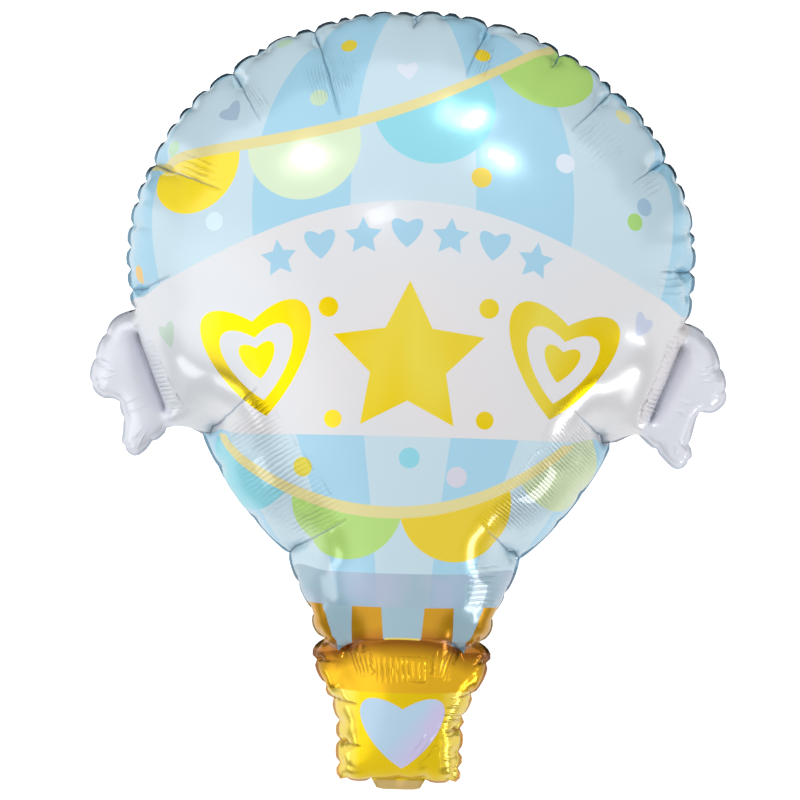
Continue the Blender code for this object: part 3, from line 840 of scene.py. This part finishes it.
def ranged(tone, low, high, bottom=0.0, top=1.0, **settings):
    """The tone stretched so that low becomes the bottom and high becomes the top."""
    return Tone.node("MapRange", (tone, low, high, bottom, top), **settings)


# The stripes run from the crown to the skirt as on the gores of a real envelope. They narrow
# towards both ends by one polynomial, fitted through where the photograph shows their edges.
STRIPE_EDGES = (62, 160, 262)
SEEN_EDGES = np.array([
    (0, 383, 22), (0, 440, 22), (0, 352, 215), (0, 470, 215), (0, 350, 250), (0, 368, 440), (0, 445, 440),
    (1, 253, 250), (1, 570, 250), (1, 318, 45), (1, 500, 45), (1, 297, 440), (1, 520, 440), (1, 330, 562),
])
stripe_at = [float(print_place(412 + half, 250)[0]) for half in STRIPE_EDGES]
edge_x, edge_y = on_print(from_photo(SEEN_EDGES[:, 1:])).T
narrowing = np.polyfit(edge_y, np.abs(edge_x) / np.take(stripe_at, SEEN_EDGES[:, 0]), 3)
gore = across.abs() / up.polynomial(*narrowing)
PALE_BLUE = ink(197, 221, 232)
SKY_BLUE = ink(164, 210, 232)
sky = gore.below(stripe_at[1], 0.001) - gore.below(stripe_at[0], 0.001)
sky = sky + 1 - gore.below(stripe_at[2], 0.001)
colour = over(PALE_BLUE, sky, SKY_BLUE)


def above_curve(degree, spots):
    """How far the print lies above the polynomial through these places in the photograph."""
    x, y = on_print(from_photo(spots)).T
    return up - across.polynomial(*np.polyfit(x, y, degree))


# Bunting: two swags of ribbon with half-round pennants. Each pennant is the lower half of a dot,
# given by its swag, the photograph's place of its middle, its radius and its ink.
RIBBON = ink(228, 217, 150)
RIBBON_WIDTH = 0.0135
upper_swag = above_curve(
    3, [(155, 168), (275, 147), (350, 131), (400, 118), (465, 92), (520, 65), (557, 50)]
)
lower_swag = above_curve(
    4, [(213, 432), (245, 458), (280, 482), (345, 505), (400, 508), (450, 503), (500, 487), (560, 450)]
)
PENNANTS = [
    (upper_swag, 196, 166, 0.064, 255, 228, 44), (upper_swag, 306, 150, 0.066, 216, 234, 200),
    (upper_swag, 434, 113, 0.070, 140, 214, 228), (upper_swag, 543, 66, 0.068, 180, 221, 118),
    (lower_swag, 252, 452, 0.062, 140, 214, 228), (lower_swag, 347, 500, 0.064, 180, 221, 118),
    (lower_swag, 455, 503, 0.064, 236, 206, 4), (lower_swag, 560, 456, 0.060, 206, 222, 178),
]
for swag, px, py, radius, *tint in PENNANTS:
    pennant = dot(print_place(px, py), radius) * swag.below(0.0)
    colour = over(colour, pennant * front_side, ink(*tint))

# The banner crosses the envelope between two curves and goes on over the swallow tails. Its
# pearl ink turns from a cool to a warm white. The lower swag goes behind it.
PEARL = ink(219, 224, 229)
WARM_PEARL = ink(227, 223, 224)
pearl = over(PEARL, ranged(cloudy(3.5), 0.35, 0.65), WARM_PEARL)
BANNER_TOP_SPOTS = [
    (131, 300), (180, 278), (253, 243), (350, 212), (410, 208), (470, 215), (570, 255), (655, 300),
    (690, 316),
]
above_foot = above_curve(2, [(213, 433), (300, 434), (408, 435), (520, 439), (600, 444)])
on_banner = above_curve(4, BANNER_TOP_SPOTS).below(0.0) * (0 - above_foot).below(0.0)
colour = over(colour, on_banner, pearl)
under_banner = 1 - (0 - above_foot).below(0.004)
colour = over(colour, lower_swag.abs().below(RIBBON_WIDTH / 2) * under_banner * front_side, RIBBON)
colour = over(colour, upper_swag.abs().below(RIBBON_WIDTH / 2) * front_side, RIBBON)

# Confetti: each dot as the photograph's place, its radius and its ink, each heart as its place,
# size, lean and ink. Then come the shapes that fill the banner.
DOTS = [
    (350, 51, 0.0098, 225, 205, 60), (481, 61, 0.0100, 240, 210, 40), (479, 185, 0.0115, 232, 205, 70),
    (305, 465, 0.0110, 225, 210, 40), (321, 105, 0.0105, 196, 222, 190), (561, 170, 0.0115, 222, 232, 244),
    (219, 226, 0.0110, 214, 236, 246), (630, 226, 0.0105, 165, 212, 115), (640, 211, 0.0110, 165, 195, 218),
    (409, 456, 0.0115, 140, 212, 228), (455, 475, 0.0115, 214, 212, 226), (141, 274, 0.0100, 238, 190, 80),
    (177, 150, 0.0100, 190, 225, 190), (285, 47, 0.0100, 190, 222, 195), (622, 120, 0.0110, 225, 225, 170),
]
HEARTS = [
    (235, 118, 0.0150, 0.7, 168, 192, 212), (408, 79, 0.0125, 0.15, 218, 226, 238),
    (637, 328, 0.0140, -0.5, 196, 205, 226), (172, 337, 0.0150, 0.3, 196, 215, 200),
]
for px, py, radius, *tint in DOTS:
    colour = over(colour, dot(print_place(px, py), radius) * front_side, ink(*tint))
for px, py, size, lean, *tint in HEARTS:
    colour = over(colour, heart(print_place(px, py), size, lean) * front_side, ink(*tint))
ARCH_BLUE = ink(160, 205, 228)
ARCH = [(283, 263), (323, 250), (365, 242), (407, 239), (449, 243), (491, 252), (531, 266)]
for number, (px, py) in enumerate(ARCH):
    shape, size = (heart, 0.0175) if number % 2 else (star, 0.0215)
    colour = over(colour, shape(print_place(px, py), size, 0.0012 * (407 - px)) * front_side, ARCH_BLUE)
GOLD = ink(252, 218, 2)
PALE_GOLD = ink(255, 236, 92)
golden_tone = over(GOLD, ranged(cloudy(9.0, stretch=(1, 0.5, 1)), 0.42, 0.72), PALE_GOLD)
gold = star(print_place(408, 362), 0.088)
for px, py, lean in ((262, 362, 0.16), (556, 366, -0.16)):
    centre = print_place(px, py)
    gold = gold | heart(centre, 0.068, lean, line=0.0235) | heart(centre, 0.022, lean)
for px, py, size in ((331, 310, 0.011), (486, 312, 0.011), (335, 418, 0.010), (482, 420, 0.010)):
    gold = gold | dot(print_place(px, py), size)
gold = gold * front_side
colour = over(colour, gold, golden_tone)

# The tails are bare silver film. The skirt has a lilac band, and straps hold the basket, with amber between
# them, which is painted darker towards the waist as shade. The basket's rim is a darker gold than its side,
# painted darker still towards the waist as shade.
SILVER = ink(226, 227, 236)
BAND = ink(148, 177, 192)
BAND_LILAC = ink(172, 179, 205)
STRAP = ink(160, 190, 204)
STRAP_GAP = ink(220, 160, 10)
GAP_SHADE = ink(196, 120, 4)
BASKET_ROLL_SHADE = ink(148, 88, 0)
BASKET_RIM = ink(240, 184, 26)
BASKET = ink(240, 204, 0)
BASKET_SHEEN = ink(255, 226, 96)
TAB = ink(234, 196, 116)
body_x = body_place.part(0).abs()
body_y = body_place.part(1)
# The silver starts at the inner weld, which leans by this slope, and ends this far up and down.
WELD_SLOPE = 0.458
TAIL_SPAN = 0.12
weld_foot = float(tail_weld[0, 0]) - WELD_SLOPE * float(tail_weld[0, 1] - OUTLINE_SHIFT)
past_weld = (body_y * WELD_SLOPE + weld_foot - body_x).below(0.0, 0.004)
on_tail = past_weld * (0 - body_y).below(TAIL_SPAN) * body_y.below(TAIL_SPAN)
colour = over(colour, on_tail, SILVER)


def outside(first, second):
    """How far out the print's places lie from the line through two of the photograph's places."""
    (x0, y0), (x1, y1) = print_place(*first), print_place(*second)
    slope = (abs(x1) - abs(x0)) / (y1 - y0)
    return across.abs() - (up * float(slope) + float(abs(x0) - slope * y0))


skirt_top = float(print_place(400, 570)[1])
skirt_foot = float(print_place(400, 604)[1])
band_tone = over(BAND, ranged(cloudy(16.0), 0.4, 0.65), BAND_LILAC)
colour = over(colour, 0.8 * up.below(skirt_top), band_tone)
strap_zone = up.below(skirt_foot)
middle_strap = outside((424, 606), (421, 634)).below(0.0)
side_strap = outside((481, 606), (468, 654)).below(0.0) * (1 - outside((453, 606), (452, 645)).below(0.0))
straps = middle_strap | side_strap
RIM_SPOTS = [(404, 636), (414, 636), (424, 637), (438, 640), (448, 643), (458, 648), (467, 654)]
rim_x, rim_y = on_print(from_photo(RIM_SPOTS)).T
rim_curve = np.polyfit(rim_x**2, rim_y, 2)
rim_across = across.abs().math("MINIMUM", float(rim_x[-1]))
below_rim = up - (rim_across * rim_across).polynomial(*rim_curve)
# Painted shade: the amber between the straps darkens towards the waist.
gap_tone = over(STRAP_GAP, ranged(below_rim, 0.016, 0.002), GAP_SHADE)
colour = over(colour, strap_zone, over(gap_tone, straps, STRAP))
on_basket = below_rim.below(0.0, 0.0014)
on_side = up.below(float(print_place(404, 690)[1]), 0.0014)
# Painted shade: the rim's gold darkens towards the waist.
rim_tone = over(BASKET_RIM, ranged(below_rim, -0.026, -0.004), BASKET_ROLL_SHADE)
colour = over(colour, on_basket, rim_tone)
# Painted highlight: a thin pale gold line along the middle of the rim.
rim_highlight = below_rim.abs().below(0.0010) * across.abs().below(0.020)
colour = over(colour, rim_highlight * front_side, BASKET_SHEEN)
# Painted sheen: the basket's side is painted paler towards its edges, from the first distance out to the
# second.
PALE_FROM, PALE_AT = 0.045, 0.062
sheen_share = 0.8 * ranged(across.abs(), PALE_FROM, PALE_AT)
side_tone = over(BASKET, sheen_share, BASKET_SHEEN)
colour = over(colour, on_side, side_tone)
on_tab = up.below(float(print_place(390, 780)[1]), 0.002)
colour = over(colour, on_tab, TAB)
HEART_BLUE = ink(178, 206, 228)
HEART_LILAC = ink(202, 192, 228)
HEART_MIDDLE = print_place(402, 731)
lower_right = along_axis(HEART_MIDDLE, (0.8, -0.6)) + 0.03 * cloudy(22.0)
heart_tone = over(HEART_BLUE, ranged(lower_right, 0.014, 0.036), HEART_LILAC)
big_heart = heart(HEART_MIDDLE, 0.049, 0.0, wide=1.22) * front_side
colour = over(colour, big_heart, heart_tone)

# Painted shade: dark lines on the long creases and at the waist's strap ends, and a darker sealed rim.
CREASE_SHADE = ink(82, 122, 148)
GOLD_CREASE_SHADE = ink(150, 84, 14)
RIM_SHADE = (0.74, 0.84, 0.92, 1)
GOLD_RIM_SHADE = (0.80, 0.50, 0.24, 1)
# Painted shade along the creases: grey-blue on the film, brown on the basket.
colour = over(colour, folded * 0.9 * (1 - on_basket), CREASE_SHADE)
colour = over(colour, folded * 0.8 * on_basket, GOLD_CREASE_SHADE)
# Painted shade: the sealed rim's colour is multiplied darker, grey-blue on the film and brown on the
# basket, half as much on the tails.
sealed = ranged(seal, 0.0, 0.35) * (1 - 0.5 * on_tail)
colour = over(colour, sealed, over(RIM_SHADE, on_basket, GOLD_RIM_SHADE), blend_type="MULTIPLY")

# Inflated film is never quite even: slow waves, and fine ribs beside the folds. A rib is the
# cube of half a sine's lift, so it is sharp on top and flat between two.
WAVE_HEIGHT = 0.0011
RIB_HEIGHT = 0.0017
uneven = cloudy(30.0, 2.0)
rib_wave = ((rib_count + uneven * 1.1) * (2 * math.pi)).math("SINE") * 0.5 + 0.5
ribs = rib_wave * rib_wave * rib_wave * rib_strength * ranged(cloudy(24.0, 1.0), 0.25, 0.55)
relief = cloudy(11.0, 1.5) * WAVE_HEIGHT + ribs * RIB_HEIGHT
bump = Tone.node("Bump", {"Strength": 1.0, "Distance": 1.0, "Height": relief})
# The amber between the straps is less of a mirror than gold, and so are the tab and the basket's edges with
# their painted sheen.
foil = gold | on_basket * (1 - big_heart) | sealed
foil = (foil | strap_zone * (1 - straps) * 0.6 * (1 - big_heart)) * (1 - 0.6 * on_tab)
foil = foil * (1 - 0.35 * sheen_share * on_side)
shader = Tone.node(
    "BsdfPrincipled",
    {
        "Base Color": colour,
        "Metallic": (foil - on_basket * 0.2 | on_tail * 0.2) * 0.8 + 0.15,
        "Roughness": cloudy(45.0, 3.0) * 0.10 + 0.15 + on_tail * 0.16,
        "Coat Weight": 0.75 - 0.65 * foil,
        "Coat Roughness": 0.04,
        "Normal": bump,
    },
)
finish = Tone.tree.nodes.new("ShaderNodeOutputMaterial")
Tone.tree.links.new(shader.socket, finish.inputs["Surface"])
balloon.data.materials.append(film)
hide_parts("foil_balloon")
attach(balloon, "root")

# The studio
# A white floor, small softboxes round it in a lit room, and a camera that looks straight down.

floor_mesh = bpy.data.meshes.new("floor")
floor_mesh.from_pydata([(-6, -6, 0), (6, -6, 0), (6, 6, 0), (-6, 6, 0)], [], [(0, 1, 2, 3)])
floor = placed("floor", floor_mesh)
paper = bpy.data.materials.new("floor_paper")
paper.use_nodes = True
PAPER = {
    "Base Color": (0.9, 0.9, 0.9, 1),
    "Roughness": 0.9,
    "Emission Color": (1, 1, 1, 1),
    "Emission Strength": 0.5,
}
for key, value in PAPER.items():
    paper.node_tree.nodes["Principled BSDF"].inputs[key].default_value = value
floor_mesh.materials.append(paper)
floor.visible_glossy = False
# Each softbox is given by the direction it shines from, its distance, width, height, turn in
# degrees and power. The last two are low and stand just off the floor.
SOFTBOXES = [
    ((-0.44, 0.60, 0.67), 3.0, 0.44, 0.15, -58, 6),
    ((0.22, 0.81, 0.55), 3.0, 0.17, 0.42, 0, 11),
    ((0.37, 0.60, 0.70), 3.0, 0.36, 0.14, 20, 6),
    ((-0.13, 0.33, 0.93), 3.2, 0.36, 0.24, 0, 0.8),
    ((0.95, -0.25, 0.14), 3.0, 0.07, 0.80, 0, 3.2),
    ((-0.81, -0.58, -0.04), 1.4, 0.40, 0.20, 0, 0.5),
    ((0.764, -0.646, -0.04), 1.44, 0.60, 0.16, 0, 2.0),
]
for number, (toward, distance, width, height, turn, power) in enumerate(SOFTBOXES):
    lamp = bpy.data.lights.new(f"softbox_{number}", "AREA")
    lamp.shape = "RECTANGLE"
    lamp.size, lamp.size_y = width, height
    lamp.energy = power
    holder = placed(lamp.name, lamp)
    aim = Vector(toward).normalized()
    holder.location = aim * distance + Vector((0, 0.1, 0.2))
    turned = aim.to_track_quat("Z", "Y") @ Quaternion((0, 0, 1), math.radians(turn))
    holder.rotation_euler = turned.to_euler()
world = bpy.data.worlds.new("studio")
world.use_nodes = True
Tone.tree = world.node_tree
# The room is dark low down beyond the crown, and a little dark low down beside the skirt. It is
# lighter towards the left, with a glow there.
CROWNWARD = (0.10, 0.99, 0.0)
SKIRTWARD = (0.75, -0.66)
GLOWWARD = (-0.814, -0.23, 0.533)
toward = Tone.node("TexCoord", output=0)
rightward = toward.part(0)
skirtward = rightward.abs() * SKIRTWARD[0] + toward.part(1) * SKIRTWARD[1]
steps = {"interpolation_type": "SMOOTHSTEP"}
beyond = ranged(toward.along(CROWNWARD), 0.14, 0.36, 0.0, 0.78, **steps)
beside = ranged(skirtward, 0.80, 0.96, 0.0, 0.72, **steps)
low_down = ranged(toward.part(2), 0.02, 0.20, 1.0, 0.0, **steps)
glow = ranged(toward.along(GLOWWARD), 0.78, 1.0, 0.0, 0.55, **steps)
brightness = (0.83 - (beyond + beside) * low_down) * (1.0 - rightward * 0.14) + glow
Tone.tree.links.new(brightness.socket, Tone.tree.nodes["Background"].inputs["Strength"])
Tone.tree.nodes["Background"].inputs["Color"].default_value = (0.97, 0.98, 0.99, 1)
bpy.context.scene.world = world
bpy.context.scene.view_settings.view_transform = "Standard"

CAMERA_HEIGHT = 5.0
camera = bpy.data.cameras.new("camera")
viewer = placed("camera", camera)
camera.sensor_width = 36
camera.lens = 36 * (CAMERA_HEIGHT - SEAM_Z) / (800 * PIXEL)
# The envelope's middle line passes the photograph's middle at a known place.
view_centre = from_photo((400, 400)) - (0, OUTLINE_SHIFT)
viewer.location = (*view_centre, CAMERA_HEIGHT)
viewer.rotation_euler = (0, 0, LEAN)
camera.clip_end = 50
bpy.context.scene.camera = viewer
